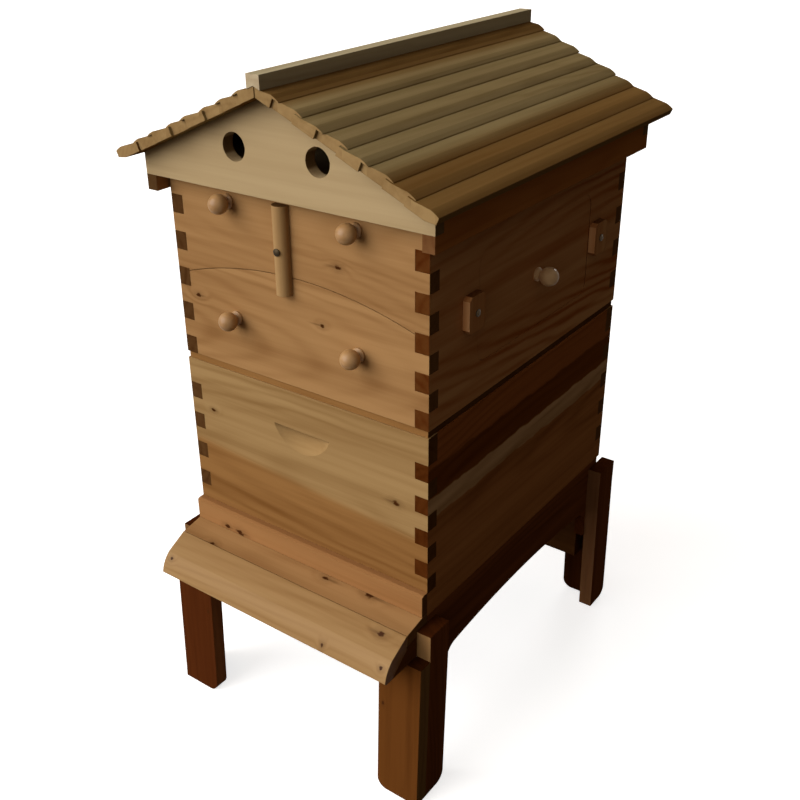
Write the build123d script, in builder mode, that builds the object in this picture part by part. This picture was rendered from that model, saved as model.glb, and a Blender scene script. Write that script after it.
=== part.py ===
from build123d import *
import math
import os

# Wooden beehive: an arched stand with a sloped landing board, a finger-jointed brood box, a queen
# excluder, a honey super with two front doors and covered side windows, an inner cover and a gabled roof.
# Millimetres, +Z up, front towards -Y, origin on the ground under the middle of the overall box.

# Box plan and board thickness
BOX_W = 412.0
BOX_L = 512.0
WALL = 20.0
CLEAR = 0.3
SEAM = 0.1

# Heights, stacked from the ground up
STAND_TOP = 291.0
FLOOR_H = 27.0
BROOD_H = 244.0
RIM_H = 10.0
SUPER_H = 280.0
COVER_T = 8.0

# Reach of the landing board in front of the box, and length of the roof
LANDING_REACH = 96.0
ROOF_L = 610.0

# Derived levels and plan limits
BROOD_Z = STAND_TOP + FLOOR_H
RIM_Z = BROOD_Z + BROOD_H
SUPER_Z = RIM_Z + RIM_H
COVER_Z = SUPER_Z + SUPER_H
ROOF_SEAT = COVER_Z + COVER_T
HALF_W = BOX_W / 2
IN_W = HALF_W - WALL
HIVE_Y = (BOX_L / 2 + LANDING_REACH - ROOF_L / 2) / 2
Y_FRONT = HIVE_Y - BOX_L / 2
Y_REAR = HIVE_Y + BOX_L / 2
IN_FRONT = Y_FRONT + WALL
IN_REAR = Y_REAR - WALL
BOX_X = (-HALF_W, HALF_W)
SIDES = (("left", -1), ("right", 1))

# Stand: arched side boards under the box, posts outside them and leg boards across, leaning lengthwise
SIDE_IN = 191.0
SIDE_OUT = HALF_W + CLEAR
SIDE_REAR = 271.0
ARCH_Y = (-183.0, 240.0)
ARCH_SPRING = 199.0
ARCH_APEX = 213.5
ARCH_R = 24.0
KNEE_Z = 150.0
POST_OUT = 228.3
POST_TOP = 281.0
POST_FRONT_Y = (-257.0, -213.0)
POST_REAR_Y = (243.0, 293.0)
LEG_TOP = 240.0
LEG_LEAN = 0.04
FOOT_R = 16.0
LEG_BOARD_IN = 160.0
LEG_BOARD_T = 22.0
RAIL_T = 22.0
RAIL_FRONT_Z = (241.0, 295.0)
BACK_Y = (249.0, 271.0)
BACK_Z = (96.0, 264.0)
RUNNER_W = 10.0
RUNNER_Z = (252.0, 264.0)

# Landing board, as distances in front of the box and heights
UPPER_TOP = 295.0
UPPER_FLAT = 12.0
JOINT_OUT = 47.0
JOINT_Z = 288.5
JOINT_GAP = 1.2
UPPER_T = 18.0
NOSE_TOP = (80.0, 271.0)
NOSE_MID = (90.5, 258.5)
NOSE_LOW = (LANDING_REACH, 243.0)
LOWER_UNDER_Z = 266.0
LOWER_HEEL = 81.0
NOSE_CUT = 3.0
CHEEK_T = 18.0

# Entrance strip
STRIP_T = 12.0
STRIP_Z = (295.5, 329.5)
STRIP_BEVEL = 4.0

# Floor mesh and inspection tray
MESH_T = 2.0
MESH_HOLES = (17, 17)
MESH_WIRE = 3.0
TRAY_HALF = 188.0
TRAY_Z = (264.3, 282.0)
TRAY_T = 3.0
TRAY_GAP = 1.0
TRAY_PULL_D = 14.0

# Finger joints: the brood box starts with one tall front finger, the super has even fingers
BROOD_TOP_FINGER = 38.5
BROOD_FINGER = 24.5
BROOD_STEPS = 9
SUPER_STEPS = 11

# Frame rests and hand holds
REST_D = 10.0
REST_H = 16.0
HAND_W = 97.0
HAND_H = 34.0
HAND_D = 13.0
HAND_TOP = RIM_Z - 57.0
HAND_DEEP_W = 74.0
HAND_DEEP_H = 12.0

# Brood frames
BROOD_COUNT = 10
LUG_GAP = 2.0
TOP_BAR_W = 27.0
TOP_BAR_H = 19.0
LUG_H = 10.0
END_BAR_W = 35.0
END_BAR_T = 9.5
END_GAP = 6.0
FRAME_FOOT = 9.0
BOTTOM_BAR = (20.0, 10.0)
WAX_T = 3.0

# Queen excluder
RIM_INSET = 2.0
RIM_WIDE = 22.0
GRID_T = 3.0
SLOT_W = 4.2
SLOT_PITCH = 6.5
SLOT_ROWS = 4
SLOT_COLS = 54
GRID_BAR = 8.0

# Honey frames
HONEY_COUNT = 7
HONEY_PITCH = 52.5
HONEY_W = 51.0
HONEY_GAP = 3.0
HONEY_FOOT = 8.0
PLATE_T = 4.0
CAP_T = 2.0
OUTLET_R = 11.0
OUTLET_UP = 18.0
KEY_SLOT = (22.0, 14.0)
KEY_DOWN = 16.0
COMB_IN = 1.5
COMB_WALL = 3.5

# Front doors, parted along one arc
ARC_END_Z = 696.0
ARC_TOP_Z = 725.5
KERF = 1.0
DOOR_BACK = 0.2

# Turned knobs
KNOB_BASE_R = 9.5
KNOB_BASE_T = 2.5
KNOB_NECK_R = 6.0
KNOB_NECK_END = 1.0
KNOB_BALL_R = 13.0
KNOB_OUT = 18.0
DOOR_KNOB_X = 102.0
UPPER_KNOB_Z = 808.0
LOWER_KNOB_Z = 648.0

# Turn bar on the upper door
BAR_X = -11.0
BAR_Z = (703.5, 820.0)
BAR_W = 21.0
BAR_EDGE = 6.0
BAR_T = 14.0

# Side windows, covers and turn buttons
COVER_HALF_L = 148.0
COVER_SPAN_Z = (620.0, 770.0)
COVER_R = 20.0
COVER_PANEL_T = 10.0
COVER_SINK = 0.5
PANE_T = 3.0
WINDOW_LEDGE = 20.0
BUTTON_Y = 167.0
BUTTON_Z = 700.0
BUTTON_W = 36.0
BUTTON_H = 48.0
BUTTON_T = 10.0
BUTTON_CUT = 5.0

# Wood screws that the bar and the buttons turn on
SCREW_R = 2.4
SCREW_HOLE_R = 2.7
SCREW_DEPTH = 14.0
HEAD_R = 5.0
HEAD_T = 2.6
HEAD_RIM = 0.9

# Inner cover
FEED_R = 30.0

# Roof
GABLE_HALF = 226.0
GABLE_Z = 829.0
GABLE_T = 17.0
GABLE_GAP = 3.0
VENT_X = 65.0
VENT_Z = 886.0
VENT_R = 18.0
SKIRT_Z = 808.0
SKIRT_T = 17.0
SEAT_IN = 190.0
APEX_Z = 956.0
ROOF_RISE = 0.4366
LATH_COUNT = 8
LATH_STEP = 33.3
LATH_TIP = 266.0
LATH_LAP = 10.0
LATH_THIN = 12.0
LATH_BUTT = 15.0
LATH_FLAT = 8.0
LATH_NOSE_RUN = 13.0
LATH_NOSE_DROP = 2.4
EAVE_LIFT = 4.0
EAVE_RUN = 14.0
LATH_SHORT = (2.0, 5.0, 3.0, 7.0, 2.5, 6.0, 3.5, 1.0)
RIDGE_HALF = 10.0
RIDGE_TOP = 982.0


def between(low, high):
    """Middle and length of a span."""
    return (low + high) / 2, high - low


def block(x, y, z, mode=Mode.ADD):
    """Upright block between pairs of limits."""
    (mid_x, len_x), (mid_y, len_y), (mid_z, len_z) = between(*x), between(*y), between(*z)
    with Locations((mid_x, mid_y, mid_z)):
        Box(len_x, len_y, len_z, mode=mode)


def mirrored(sign, near, far):
    """Span between two distances from the middle plane, on the side that sign names."""
    return tuple(sorted((sign * near, sign * far)))


def rod(centre, radius, length, turn, mode=Mode.ADD):
    """Round bar about centre, its axis turned from +Z by turn."""
    with Locations(centre):
        Cylinder(radius, length, rotation=turn, mode=mode)


def turned(origin, outward, section):
    """Turned piece about the line through origin along outward; section draws half its outline."""
    with BuildSketch(Plane(origin=origin, x_dir=outward, z_dir=(0, 0, 1))) as profile:
        with BuildLine():
            section()
        make_face()
    revolve(profile.sketch, axis=Axis(origin, outward))


def knob_outline():
    """Half outline of a ball knob: base flange, neck and ball."""
    neck_end = KNOB_OUT - math.sqrt(KNOB_BALL_R**2 - KNOB_NECK_R**2)
    tip = KNOB_OUT + KNOB_BALL_R
    Polyline(
        (tip, 0),
        (0, 0),
        (0, KNOB_BASE_R),
        (KNOB_BASE_T, KNOB_BASE_R),
        (neck_end - KNOB_NECK_END, KNOB_NECK_R),
        (neck_end, KNOB_NECK_R),
    )
    ThreePointArc((neck_end, KNOB_NECK_R), (KNOB_OUT, KNOB_BALL_R), (tip, 0))


def screw_outline(cover):
    """Half outline of a screw whose domed head stands cover above the wood it is driven into."""

    def draw():
        top = cover + HEAD_T
        rim = cover + HEAD_RIM
        dome = top - rim
        dome_r = (HEAD_R**2 + dome**2) / (2 * dome)
        half = math.asin(HEAD_R / dome_r) / 2
        bulge = (top - dome_r + dome_r * math.cos(half), dome_r * math.sin(half))
        Polyline((top, 0), (-SCREW_DEPTH, 0), (-SCREW_DEPTH, SCREW_R), (cover, SCREW_R))
        Polyline((cover, SCREW_R), (cover, HEAD_R), (rim, HEAD_R))
        ThreePointArc((rim, HEAD_R), bulge, (top, 0))

    return draw


def save(builder, name):
    """Label the finished piece and write it as one node."""
    builder.part.label = name
    export_step(builder.part, f"parts/{name}.step")


def spans(levels, start):
    """Every other gap between neighbouring levels."""
    return [tuple(sorted(levels[i : i + 2])) for i in range(start, len(levels) - 1, 2)]


def leaned(way, y, z):
    """Section point of a leg edge that stands upright at y down to the leg top and leans out below it."""
    return y + way * LEG_LEAN * (LEG_TOP - z), z


def slope(sign, s, n):
    """Point of the roof section at s down the slope from the ridge and n above its underside."""
    pitch = math.atan(ROOF_RISE)
    across = s * math.cos(pitch) + n * math.sin(pitch)
    return sign * across, APEX_Z - s * math.sin(pitch) + n * math.cos(pitch)


os.makedirs("parts", exist_ok=True)

brood_levels = [RIM_Z]
brood_levels += [RIM_Z - BROOD_TOP_FINGER - i * BROOD_FINGER for i in range(BROOD_STEPS)]
brood_levels.append(BROOD_Z)
BROOD_FRONT_FINGERS = spans(brood_levels, 0)
BROOD_SIDE_FINGERS = spans(brood_levels, 1)

super_levels = [SUPER_Z + i * SUPER_H / SUPER_STEPS for i in range(SUPER_STEPS + 1)]
SUPER_SIDE_FINGERS = spans(super_levels, 0)
SUPER_FRONT_FINGERS = spans(super_levels, 1)
HEAD_RAIL_Z = super_levels[-2]

# Stand: arched side boards, each with a knee at both ends
spring_front = (ARCH_Y[0], ARCH_SPRING)
spring_rear = (ARCH_Y[1], ARCH_SPRING)
crown = ((ARCH_Y[0] + ARCH_Y[1]) / 2, ARCH_APEX)
for side, sign in SIDES:
    side_x = mirrored(sign, SIDE_IN, SIDE_OUT)
    with BuildPart() as stand_side:
        with BuildSketch(Plane.YZ.offset(side_x[0])) as outline:
            with BuildLine():
                Polyline(
                    spring_front,
                    (ARCH_Y[0], KNEE_Z),
                    (Y_FRONT, KNEE_Z),
                    (Y_FRONT, STAND_TOP),
                    (SIDE_REAR, STAND_TOP),
                    (SIDE_REAR, KNEE_Z),
                    (ARCH_Y[1], KNEE_Z),
                    spring_rear,
                )
                ThreePointArc(spring_rear, crown, spring_front)
            make_face()
            springs = [v for v in outline.vertices() if abs(v.Y - ARCH_SPRING) < CLEAR]
            fillet(springs, ARCH_R)
        extrude(amount=SIDE_OUT - SIDE_IN)
    save(stand_side, f"stand_side_{side}")

# Stand: posts outside the side boards, rounded at the rear of the foot
for end, way, post_y in (("front", -1, POST_FRONT_Y), ("rear", 1, POST_REAR_Y)):
    for side, sign in SIDES:
        post_x = mirrored(sign, SIDE_OUT, POST_OUT)
        with BuildPart() as post:
            with BuildSketch(Plane.YZ.offset(post_x[0])) as outline:
                with BuildLine():
                    Polyline(
                        leaned(way, post_y[0], 0),
                        (post_y[0], LEG_TOP),
                        (post_y[0], POST_TOP),
                        (post_y[1], POST_TOP),
                        (post_y[1], LEG_TOP),
                        leaned(way, post_y[1], 0),
                        close=True,
                    )
                make_face()
                feet = outline.vertices().group_by(Axis.Y)[0]
                fillet(feet.sort_by(Axis.X)[-1], FOOT_R)
            extrude(amount=POST_OUT - SIDE_OUT)
        save(post, f"leg_post_{end}_{side}")

# Stand: leg boards in front of the front posts and between the rear posts, rounded at the inner foot
front_legs = ("front", -1, POST_FRONT_Y[0] - LEG_BOARD_T, POST_OUT)
rear_legs = ("rear", 1, POST_REAR_Y[1] - LEG_BOARD_T, SIDE_OUT)
for end, way, near, reach in (front_legs, rear_legs):
    far = near + LEG_BOARD_T
    for side, sign in SIDES:
        board_x = mirrored(sign, LEG_BOARD_IN, reach)
        with BuildPart() as leg_board:
            with BuildSketch(Plane.YZ.offset(board_x[0])):
                with BuildLine():
                    Polyline(
                        leaned(way, near, 0),
                        (near, LEG_TOP),
                        (far, LEG_TOP),
                        leaned(way, far, 0),
                        close=True,
                    )
                make_face()
            extrude(amount=reach - LEG_BOARD_IN)
            inner_end = leg_board.faces().sort_by(Axis.X)[0 if sign > 0 else -1]
            fillet(inner_end.edges().sort_by(Axis.Z)[0], FOOT_R)
        save(leg_board, f"leg_board_{end}_{side}")

# Stand: front rail, deep back board and the runners of the tray
RAIL_X = (-SIDE_IN, SIDE_IN)
with BuildPart() as rail_front:
    block(RAIL_X, (Y_FRONT, Y_FRONT + RAIL_T), (RAIL_FRONT_Z[0], STAND_TOP))
    block((-IN_W, IN_W), (Y_FRONT, Y_FRONT + RAIL_T), (STAND_TOP, RAIL_FRONT_Z[1]))
save(rail_front, "stand_rail_front")

with BuildPart() as back_board:
    block(RAIL_X, BACK_Y, BACK_Z)
save(back_board, "stand_back_board")

with BuildPart() as tray_runners:
    for side, sign in SIDES:
        runner_x = mirrored(sign, SIDE_IN - RUNNER_W, SIDE_IN)
        block(runner_x, (Y_FRONT + RAIL_T, BACK_Y[0]), RUNNER_Z)
save(tray_runners, "tray_runners")

# Landing board: sloped upper board, rounded lower board and end cheeks
with BuildPart() as landing_upper:
    with BuildSketch(Plane.YZ.offset(-HALF_W)):
        with BuildLine():
            Polyline(
                (Y_FRONT, UPPER_TOP),
                (Y_FRONT - UPPER_FLAT, UPPER_TOP),
                (Y_FRONT - JOINT_OUT + JOINT_GAP, JOINT_Z),
                (Y_FRONT - JOINT_OUT + JOINT_GAP, JOINT_Z - UPPER_T),
                (Y_FRONT, UPPER_TOP - UPPER_T),
                close=True,
            )
        make_face()
    extrude(amount=BOX_W)
save(landing_upper, "landing_board_upper")

with BuildPart() as landing_lower:
    with BuildSketch(Plane.YZ.offset(-HALF_W)):
        with BuildLine():
            ThreePointArc(
                (Y_FRONT - NOSE_TOP[0], NOSE_TOP[1]),
                (Y_FRONT - NOSE_MID[0], NOSE_MID[1]),
                (Y_FRONT - NOSE_LOW[0], NOSE_LOW[1]),
            )
            Polyline(
                (Y_FRONT - NOSE_LOW[0], NOSE_LOW[1]),
                (Y_FRONT - NOSE_LOW[0] + NOSE_CUT, LEG_TOP),
                (Y_FRONT - LOWER_HEEL, LEG_TOP),
                (Y_FRONT - JOINT_OUT, LOWER_UNDER_Z),
                (Y_FRONT - JOINT_OUT, JOINT_Z),
                (Y_FRONT - NOSE_TOP[0], NOSE_TOP[1]),
            )
        make_face()
    extrude(amount=BOX_W)
save(landing_lower, "landing_board_lower")

with BuildPart() as landing_cheeks:
    for side, sign in SIDES:
        cheek_x = mirrored(sign, HALF_W - CHEEK_T, HALF_W)
        with BuildSketch(Plane.YZ.offset(cheek_x[0])):
            with BuildLine():
                Polyline(
                    (Y_FRONT, LEG_TOP),
                    (Y_FRONT, UPPER_TOP - UPPER_T),
                    (Y_FRONT - JOINT_OUT + JOINT_GAP, JOINT_Z - UPPER_T),
                    (Y_FRONT - JOINT_OUT, LOWER_UNDER_Z),
                    (Y_FRONT - LOWER_HEEL, LEG_TOP),
                    close=True,
                )
            make_face()
        extrude(amount=CHEEK_T)
save(landing_cheeks, "landing_cheeks")

# Entrance strip with a bevelled top edge
with BuildPart() as entrance_strip:
    with BuildSketch(Plane.YZ.offset(-HALF_W)):
        with BuildLine():
            Polyline(
                (Y_FRONT - CLEAR, STRIP_Z[0]),
                (Y_FRONT - CLEAR, STRIP_Z[1]),
                (Y_FRONT - STRIP_T + STRIP_BEVEL, STRIP_Z[1]),
                (Y_FRONT - STRIP_T, STRIP_Z[1] - STRIP_BEVEL / 2),
                (Y_FRONT - STRIP_T, STRIP_Z[0]),
                close=True,
            )
        make_face()
    extrude(amount=BOX_W)
save(entrance_strip, "entrance_strip")

# Floor: rim on three sides, wire mesh and a tray that slides out at the rear
with BuildPart() as floor_rim:
    for side, sign in SIDES:
        block(mirrored(sign, IN_W, HALF_W), (Y_FRONT, Y_REAR), (STAND_TOP, BROOD_Z))
    block((-IN_W + SEAM, IN_W - SEAM), (IN_REAR, Y_REAR), (STAND_TOP, BROOD_Z))
save(floor_rim, "floor_rim")

mesh_y = (Y_FRONT + RAIL_T / 2, IN_REAR)
mesh_mid, mesh_len = between(*mesh_y)
mesh_pitch_x = (2 * IN_W - MESH_WIRE) / MESH_HOLES[0]
mesh_pitch_y = (mesh_len - MESH_WIRE) / MESH_HOLES[1]
with BuildPart() as floor_mesh:
    with BuildSketch(Plane.XY.offset(RAIL_FRONT_Z[1])):
        with Locations((0, mesh_mid)):
            Rectangle(2 * IN_W, mesh_len)
            with GridLocations(mesh_pitch_x, mesh_pitch_y, *MESH_HOLES):
                Rectangle(mesh_pitch_x - MESH_WIRE, mesh_pitch_y - MESH_WIRE, mode=Mode.SUBTRACT)
    extrude(amount=MESH_T)
save(floor_mesh, "floor_mesh")

tray_x = (-TRAY_HALF, TRAY_HALF)
tray_y = (Y_FRONT + RAIL_T + TRAY_GAP, Y_REAR)
with BuildPart() as tray:
    block(tray_x, tray_y, TRAY_Z)
    inner_x = (-TRAY_HALF + TRAY_T, TRAY_HALF - TRAY_T)
    inner_y = (tray_y[0] + TRAY_T, tray_y[1] - TRAY_T)
    block(inner_x, inner_y, (TRAY_Z[0] + TRAY_T, TRAY_Z[1]), mode=Mode.SUBTRACT)
    block((-DOOR_KNOB_X, DOOR_KNOB_X), (Y_REAR, Y_REAR + TRAY_PULL_D), TRAY_Z)
save(tray, "inspection_tray")

# Brood box: four walls with interlocking fingers
for side, sign in SIDES:
    wall_x = mirrored(sign, IN_W, HALF_W)
    with BuildPart() as brood_side:
        block(wall_x, (Y_FRONT, Y_REAR), (BROOD_Z, RIM_Z))
        for finger in BROOD_FRONT_FINGERS:
            block(wall_x, (Y_FRONT, IN_FRONT), finger, mode=Mode.SUBTRACT)
            block(wall_x, (IN_REAR, Y_REAR), finger, mode=Mode.SUBTRACT)
    save(brood_side, f"brood_wall_{side}")

BROOD_ENDS = (
    ("front", (Y_FRONT, IN_FRONT), (IN_FRONT - REST_D, IN_FRONT), Y_FRONT, 1),
    ("rear", (IN_REAR, Y_REAR), (IN_REAR, IN_REAR + REST_D), Y_REAR, -1),
)
for end, wall_y, rest_y, face_y, inward in BROOD_ENDS:
    with BuildPart() as brood_end:
        block(BOX_X, wall_y, (BROOD_Z, RIM_Z))
        for side, sign in SIDES:
            for finger in BROOD_SIDE_FINGERS:
                block(mirrored(sign, IN_W, HALF_W), wall_y, finger, mode=Mode.SUBTRACT)
        block((-IN_W, IN_W), rest_y, (RIM_Z - REST_H, RIM_Z), mode=Mode.SUBTRACT)
        hand_sections = ((0, HAND_W, HAND_H), (HAND_D, HAND_DEEP_W, HAND_DEEP_H))
        for depth, wide, tall in hand_sections:
            with BuildSketch(Plane.XZ.offset(-face_y - inward * depth)):
                with BuildLine():
                    Line((-wide / 2, HAND_TOP), (wide / 2, HAND_TOP))
                    ThreePointArc((wide / 2, HAND_TOP), (0, HAND_TOP - tall), (-wide / 2, HAND_TOP))
                make_face()
        loft(mode=Mode.SUBTRACT)
    save(brood_end, f"brood_wall_{end}")

# Brood frames: wooden bars around wax foundation
brood_pitch = 2 * IN_W / BROOD_COUNT
brood_xs = [-IN_W + (i + 0.5) * brood_pitch for i in range(BROOD_COUNT)]
rest_z = RIM_Z - REST_H
bar_top = rest_z + LUG_H
frame_y = (IN_FRONT + END_GAP, IN_REAR - END_GAP)
lug_y = (IN_FRONT - REST_D + LUG_GAP, IN_REAR + REST_D - LUG_GAP)
foot_z = BROOD_Z + FRAME_FOOT
under_bar = bar_top - TOP_BAR_H
with BuildPart() as frame_bars:
    for x in brood_xs:
        bar_x = (x - TOP_BAR_W / 2, x + TOP_BAR_W / 2)
        block(bar_x, lug_y, (rest_z, bar_top))
        block(bar_x, frame_y, (under_bar, rest_z))
        end_x = (x - END_BAR_W / 2, x + END_BAR_W / 2)
        for end_y in (frame_y[0], frame_y[1] - END_BAR_T):
            block(end_x, (end_y, end_y + END_BAR_T), (foot_z, under_bar - SEAM))
        foot_x = (x - BOTTOM_BAR[0] / 2, x + BOTTOM_BAR[0] / 2)
        foot_y = (frame_y[0] + END_BAR_T + CLEAR, frame_y[1] - END_BAR_T - CLEAR)
        block(foot_x, foot_y, (foot_z, foot_z + BOTTOM_BAR[1]))
save(frame_bars, "brood_frame_bars")

with BuildPart() as foundations:
    for x in brood_xs:
        wax_y = (frame_y[0] + END_BAR_T + CLEAR, frame_y[1] - END_BAR_T - CLEAR)
        block((x - WAX_T / 2, x + WAX_T / 2), wax_y, (foot_z + BOTTOM_BAR[1], under_bar))
save(foundations, "brood_foundations")

# Queen excluder: rim and slotted grid
rim_half = HALF_W - RIM_INSET
rim_y = (Y_FRONT + RIM_INSET, Y_REAR - RIM_INSET)
hole_half = rim_half - RIM_WIDE
hole_y = (rim_y[0] + RIM_WIDE, rim_y[1] - RIM_WIDE)
hole_mid, hole_len = between(*hole_y)
with BuildPart() as excluder_rim:
    for side, sign in SIDES:
        block(mirrored(sign, hole_half, rim_half), rim_y, (RIM_Z, SUPER_Z))
    cross_x = (-hole_half + SEAM, hole_half - SEAM)
    block(cross_x, (rim_y[0], hole_y[0]), (RIM_Z, SUPER_Z))
    block(cross_x, (hole_y[1], rim_y[1]), (RIM_Z, SUPER_Z))
save(excluder_rim, "excluder_rim")

slot_row = (hole_len - GRID_BAR) / SLOT_ROWS
with BuildPart() as excluder_grid:
    with BuildSketch(Plane.XY.offset((RIM_Z + SUPER_Z - GRID_T) / 2)):
        with Locations((0, hole_mid)):
            Rectangle(2 * hole_half, hole_len)
            with GridLocations(SLOT_PITCH, slot_row, SLOT_COLS, SLOT_ROWS):
                Rectangle(SLOT_W, slot_row - GRID_BAR, mode=Mode.SUBTRACT)
    extrude(amount=GRID_T)
save(excluder_grid, "excluder_grid")

# Honey super: side walls with a rebated window, rear wall and head rail
cover_mid_z, cover_tall = between(*COVER_SPAN_Z)
rebate_depth = COVER_SINK + COVER_PANEL_T + PANE_T
PANE_IN = HALF_W - rebate_depth
for side, sign in SIDES:
    wall_x = mirrored(sign, IN_W, HALF_W)
    face = Plane(origin=(sign * HALF_W, HIVE_Y, cover_mid_z), x_dir=(0, 1, 0), z_dir=(sign, 0, 0))
    with BuildPart() as super_side:
        block(wall_x, (Y_FRONT, Y_REAR), (SUPER_Z, COVER_Z))
        for finger in SUPER_FRONT_FINGERS:
            block(wall_x, (Y_FRONT, IN_FRONT), finger, mode=Mode.SUBTRACT)
            block(wall_x, (IN_REAR, Y_REAR), finger, mode=Mode.SUBTRACT)
        with BuildSketch(face):
            RectangleRounded(2 * (COVER_HALF_L + CLEAR), cover_tall + 2 * CLEAR, COVER_R + CLEAR)
        extrude(amount=-rebate_depth, mode=Mode.SUBTRACT)
        with BuildSketch(face):
            Rectangle(2 * (COVER_HALF_L - WINDOW_LEDGE), cover_tall - 2 * WINDOW_LEDGE)
        extrude(amount=-WALL, mode=Mode.SUBTRACT)
        for end in (-1, 1):
            pivot = (sign * HALF_W, HIVE_Y + end * BUTTON_Y, BUTTON_Z)
            rod(pivot, SCREW_R, 2 * SCREW_DEPTH, (0, 90, 0), mode=Mode.SUBTRACT)
    save(super_side, f"super_wall_{side}")

    with BuildPart() as cover:
        with BuildSketch(face.offset(-COVER_SINK - COVER_PANEL_T + CLEAR)):
            RectangleRounded(2 * COVER_HALF_L, cover_tall, COVER_R)
        extrude(amount=COVER_PANEL_T - CLEAR)
    save(cover, f"side_cover_{side}")

    with BuildPart() as cover_knob:
        turned((sign * (HALF_W - COVER_SINK), HIVE_Y, cover_mid_z), (sign, 0, 0), knob_outline)
    save(cover_knob, f"side_cover_knob_{side}")

with BuildPart() as panes:
    for side, sign in SIDES:
        inner = Plane(origin=(sign * PANE_IN, HIVE_Y, cover_mid_z), x_dir=(0, 1, 0), z_dir=(sign, 0, 0))
        with BuildSketch(inner):
            RectangleRounded(2 * COVER_HALF_L, cover_tall, COVER_R)
        extrude(amount=PANE_T)
save(panes, "window_panes")

with BuildPart() as super_rear:
    block(BOX_X, (IN_REAR, Y_REAR), (SUPER_Z, COVER_Z))
    for side, sign in SIDES:
        for finger in SUPER_SIDE_FINGERS:
            block(mirrored(sign, IN_W, HALF_W), (IN_REAR, Y_REAR), finger, mode=Mode.SUBTRACT)
    block((-IN_W, IN_W), (IN_REAR, IN_REAR + REST_D), (COVER_Z - REST_H, COVER_Z), mode=Mode.SUBTRACT)
save(super_rear, "super_wall_rear")

with BuildPart() as head_rail:
    block((-IN_W, IN_W), (Y_FRONT, IN_FRONT), (HEAD_RAIL_Z, COVER_Z))
    block((-IN_W, IN_W), (IN_FRONT - REST_D, IN_FRONT), (COVER_Z - REST_H, COVER_Z), mode=Mode.SUBTRACT)
save(head_rail, "super_head_rail")

# Turn buttons beside the covers and the screws they turn on
with BuildPart() as button_screws:
    for side, sign in SIDES:
        for end in (-1, 1):
            pivot = (sign * HALF_W, HIVE_Y + end * BUTTON_Y, BUTTON_Z)
            turned(pivot, (sign, 0, 0), screw_outline(BUTTON_T + 2 * CLEAR))
save(button_screws, "button_screws")

for side, sign in SIDES:
    for end, way in (("front", -1), ("rear", 1)):
        centre = (sign * (HALF_W + CLEAR), HIVE_Y + way * BUTTON_Y, BUTTON_Z)
        with BuildPart() as button:
            with BuildSketch(Plane(origin=centre, x_dir=(0, 1, 0), z_dir=(sign, 0, 0))) as outline:
                Rectangle(BUTTON_W, BUTTON_H)
                chamfer(outline.vertices(), BUTTON_CUT)
                Circle(SCREW_HOLE_R, mode=Mode.SUBTRACT)
            extrude(amount=BUTTON_T)
        save(button, f"turn_button_{end}_{side}")

# Front doors: their fingers slide out forwards between the fingers of the side walls
door_half = IN_W - CLEAR
door_plane = Plane.XZ.offset(-(IN_FRONT - DOOR_BACK))
door_t = WALL - DOOR_BACK


def door_fingers(fingers):
    """Fingers at both ends of a door, each a little smaller than its slot."""
    mid_x, wide = between(door_half, HALF_W)
    for low, high in fingers:
        mid_z, tall = between(low + CLEAR, high - CLEAR)
        with Locations((-mid_x, mid_z), (mid_x, mid_z)):
            Rectangle(wide, tall)


with BuildPart() as lower_door:
    with BuildSketch(door_plane):
        with BuildLine():
            Polyline(
                (-door_half, ARC_END_Z),
                (-door_half, SUPER_Z + CLEAR),
                (door_half, SUPER_Z + CLEAR),
                (door_half, ARC_END_Z),
            )
            ThreePointArc((door_half, ARC_END_Z), (0, ARC_TOP_Z), (-door_half, ARC_END_Z))
        make_face()
        door_fingers([f for f in SUPER_FRONT_FINGERS if f[1] < ARC_END_Z])
    extrude(amount=door_t)
save(lower_door, "lower_door")

bar_mid_z, bar_len = between(*BAR_Z)
bar_pivot = (BAR_X, Y_FRONT, bar_mid_z)
with BuildPart() as upper_door:
    with BuildSketch(door_plane):
        with BuildLine():
            Polyline(
                (-door_half, ARC_END_Z + KERF),
                (-door_half, HEAD_RAIL_Z - CLEAR),
                (door_half, HEAD_RAIL_Z - CLEAR),
                (door_half, ARC_END_Z + KERF),
            )
            ThreePointArc(
                (door_half, ARC_END_Z + KERF),
                (0, ARC_TOP_Z + KERF),
                (-door_half, ARC_END_Z + KERF),
            )
        make_face()
        door_fingers([f for f in SUPER_FRONT_FINGERS if f[0] > ARC_END_Z])
    extrude(amount=door_t)
    rod(bar_pivot, SCREW_R, 2 * SCREW_DEPTH, (90, 0, 0), mode=Mode.SUBTRACT)
save(upper_door, "upper_door")

for door, knob_z in (("lower", LOWER_KNOB_Z), ("upper", UPPER_KNOB_Z)):
    with BuildPart() as knobs:
        for x in (-DOOR_KNOB_X, DOOR_KNOB_X):
            turned((x, Y_FRONT, knob_z), (0, -1, 0), knob_outline)
    save(knobs, f"{door}_door_knobs")

# Turn bar with a rounded front, and its screw
bar_back = Y_FRONT - CLEAR
with BuildPart() as turn_bar:
    with BuildSketch(Plane.XY.offset(BAR_Z[0])):
        with BuildLine():
            Polyline(
                (BAR_X - BAR_W / 2, bar_back - BAR_EDGE),
                (BAR_X - BAR_W / 2, bar_back),
                (BAR_X + BAR_W / 2, bar_back),
                (BAR_X + BAR_W / 2, bar_back - BAR_EDGE),
            )
            ThreePointArc(
                (BAR_X + BAR_W / 2, bar_back - BAR_EDGE),
                (BAR_X, bar_back - BAR_T),
                (BAR_X - BAR_W / 2, bar_back - BAR_EDGE),
            )
        make_face()
    extrude(amount=bar_len)
    rod(bar_pivot, SCREW_HOLE_R, 3 * BAR_T, (90, 0, 0), mode=Mode.SUBTRACT)
save(turn_bar, "turn_bar")

with BuildPart() as bar_screw:
    turned(bar_pivot, (0, -1, 0), screw_outline(BAR_T + 2 * CLEAR))
save(bar_screw, "turn_bar_screw")

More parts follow.
